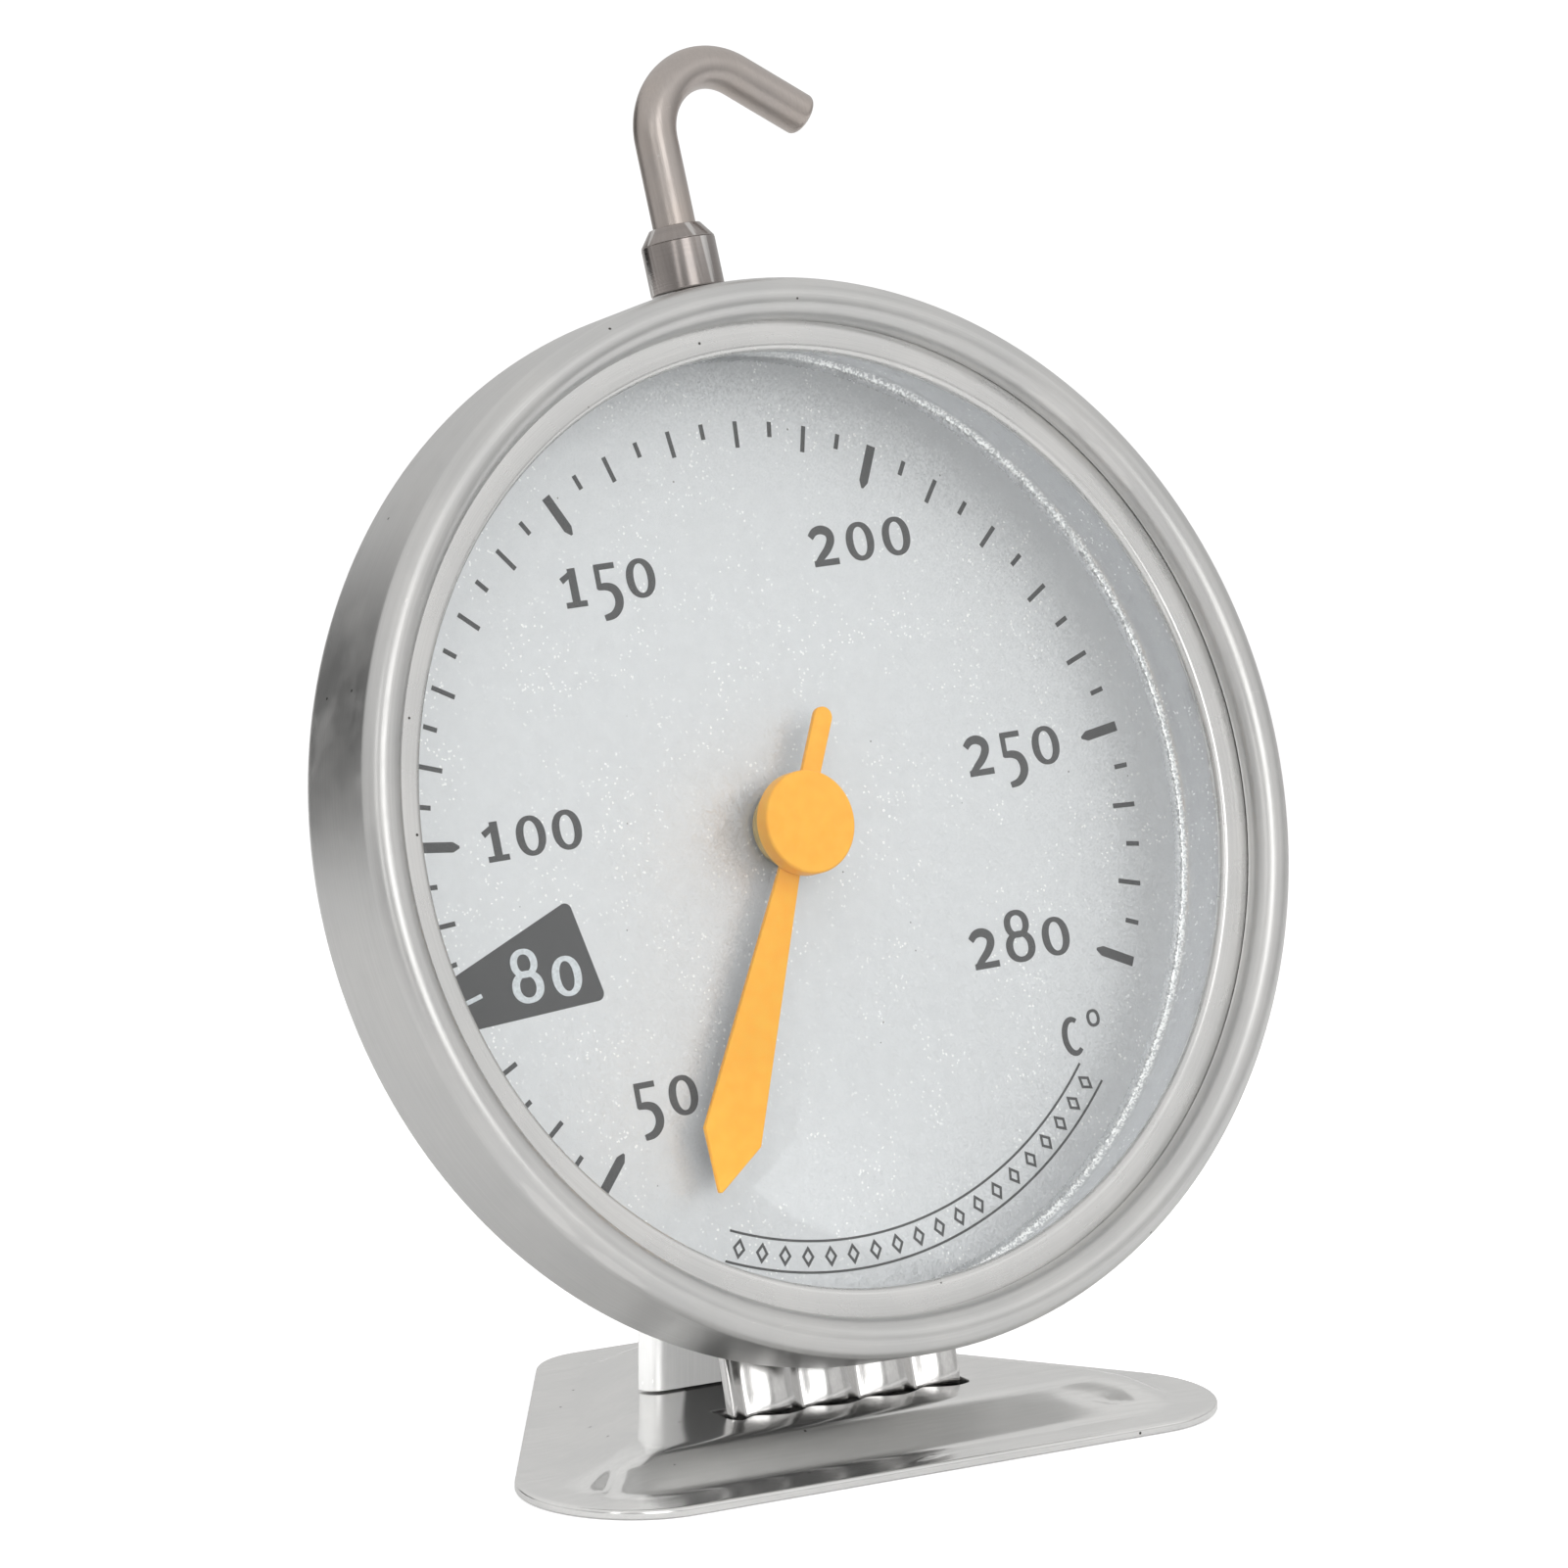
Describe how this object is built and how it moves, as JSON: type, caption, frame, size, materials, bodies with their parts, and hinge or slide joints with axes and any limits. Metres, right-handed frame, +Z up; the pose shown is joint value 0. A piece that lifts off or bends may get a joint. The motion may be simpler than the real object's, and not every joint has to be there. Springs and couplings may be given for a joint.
{
  "type": "oven thermometer",
  "caption": "Round oven thermometer: dial, glass and bimetal coil in a steel case, on a pressed foot plate with a leaning stand, with a swivelling hook on top.",
  "frame": {"origin": "floor level, under the middle of the foot plate", "axes": "+Z up, -Y towards the reader of the dial, +X to the reader's right"},
  "size_m": [0.062, 0.033, 0.0787],
  "materials": {
    "polished_steel": "polished",
    "satin_steel": "satin",
    "brushed_steel": "brushed",
    "ring_steel": "satin",
    "wire_steel": "brushed",
    "rivet_steel": "satin",
    "glass": "clear",
    "dial_paint": "fine metallic",
    "amber_paint": "satin",
    "bush_brass": "satin",
    "bimetal": "satin"
  },
  "bodies": {
    "stand_and_case": {"base_plate": "polished_steel", "front_leg": "polished_steel", "rear_strut": "polished_steel", "stand_rivet_left": "rivet_steel", "stand_rivet_right": "rivet_steel", "foot_rivet_left": "rivet_steel", "foot_rivet_right": "rivet_steel", "bezel_ring": "brushed_steel", "rear_cup": "satin_steel", "lens_ring": "ring_steel", "lens": "glass", "dial_plate": "dial_paint", "front_bush": "bush_brass", "rear_bush": "bush_brass", "coil_post": "rivet_steel", "bimetal_coil": "bimetal"},
    "pointer": {"pointer_arbor": "rivet_steel", "pointer_blade": "amber_paint", "pointer_cap": "amber_paint", "coil_collet": "bush_brass"},
    "hook": {"hook_wire": "wire_steel", "hook_ferrule": "wire_steel", "hook_washer": "rivet_steel"}
  },
  "joints": [
    {"name": "pointer_turn", "type": "hinge", "parent": "stand_and_case", "child": "pointer", "pos_m": [0, -0.0006, 0.0346], "axis": [0, 0.9573, -0.289], "range_deg": [-25, 276]},
    {"name": "hook_swivel", "type": "hinge", "parent": "stand_and_case", "child": "hook", "pos_m": [0, -0.00232, 0.03512], "axis": [-0.0576, 0.2886, 0.9557], "continuous": true}
  ]
}
